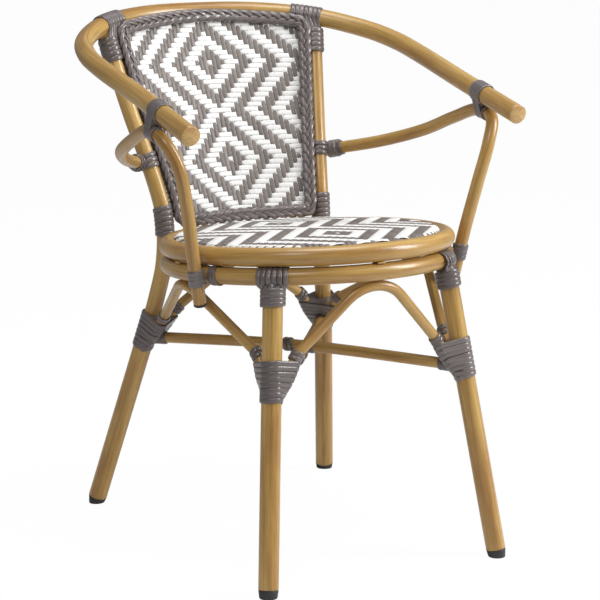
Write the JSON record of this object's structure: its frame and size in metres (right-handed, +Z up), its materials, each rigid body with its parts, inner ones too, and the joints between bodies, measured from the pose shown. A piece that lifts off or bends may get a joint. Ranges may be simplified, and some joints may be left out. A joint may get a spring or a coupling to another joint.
{
  "type": "bistro armchair",
  "caption": "Bistro armchair of bent bamboo-look tube with splayed legs, arched braces, a round woven seat, a woven back and lashed joints.",
  "frame": {"origin": "on the floor under the middle of the chair's bounding box", "axes": "+Z up, the front of the chair faces -Y, +X is to the right as seen from the front"},
  "size_m": [0.5668, 0.6174, 0.7775],
  "materials": {
    "bamboo_tube": "glossy lacquer with a lengthwise bamboo grain",
    "bare_end": "satin lacquer",
    "grey_strip": "satin flat strip",
    "woven_strand": "satin strand, white with a grey pattern",
    "black_plastic": "matte moulded"
  },
  "bodies": {
    "root": {"arm_rail": "bamboo_tube", "rail_cap_left": "bare_end", "rail_cap_right": "bare_end", "rear_post_left": "bamboo_tube", "rear_post_right": "bamboo_tube", "rear_leg_left": "bamboo_tube", "rear_leg_right": "bamboo_tube", "front_leg_left": "bamboo_tube", "front_leg_right": "bamboo_tube", "seat_ring_upper": "bamboo_tube", "seat_ring_lower": "bamboo_tube", "ring_spacer_front": "bamboo_tube", "ring_spacer_right": "bamboo_tube", "ring_spacer_rear": "bamboo_tube", "ring_spacer_left": "bamboo_tube", "post_spacer_left": "bamboo_tube", "post_spacer_right": "bamboo_tube", "arm_support_left": "bamboo_tube", "arm_support_right": "bamboo_tube", "support_plug_left": "black_plastic", "support_plug_right": "black_plastic", "brace_front": "bamboo_tube", "brace_right": "bamboo_tube", "brace_rear": "bamboo_tube", "brace_left": "bamboo_tube", "stretcher_upper": "bamboo_tube", "stretcher_lower": "bamboo_tube", "glide_front_left": "black_plastic", "glide_front_right": "black_plastic", "glide_rear_left": "black_plastic", "glide_rear_right": "black_plastic", "seat_rod_ring": "bamboo_tube", "seat_weave": "woven_strand", "back_frame": "bamboo_tube", "back_border": "grey_strip", "back_weave": "woven_strand", "post_lashing_left": "grey_strip", "post_lashing_right": "grey_strip", "corner_winding_left": "grey_strip", "corner_winding_right": "grey_strip", "corner_lashing_left": "grey_strip", "corner_lashing_right": "grey_strip", "arm_post_lashing_left": "grey_strip", "arm_post_lashing_right": "grey_strip", "arm_lashing_left": "grey_strip", "arm_lashing_right": "grey_strip", "arm_ring_lashing_left": "grey_strip", "arm_ring_lashing_right": "grey_strip", "front_leg_winding_left": "grey_strip", "front_leg_winding_right": "grey_strip", "front_leg_lashing_left": "grey_strip", "front_leg_lashing_right": "grey_strip", "leg_lashing_front_left": "grey_strip", "leg_lashing_front_right": "grey_strip", "leg_lashing_rear_left": "grey_strip", "leg_lashing_rear_right": "grey_strip", "cross_lashing": "grey_strip"}
  },
  "joints": []
}
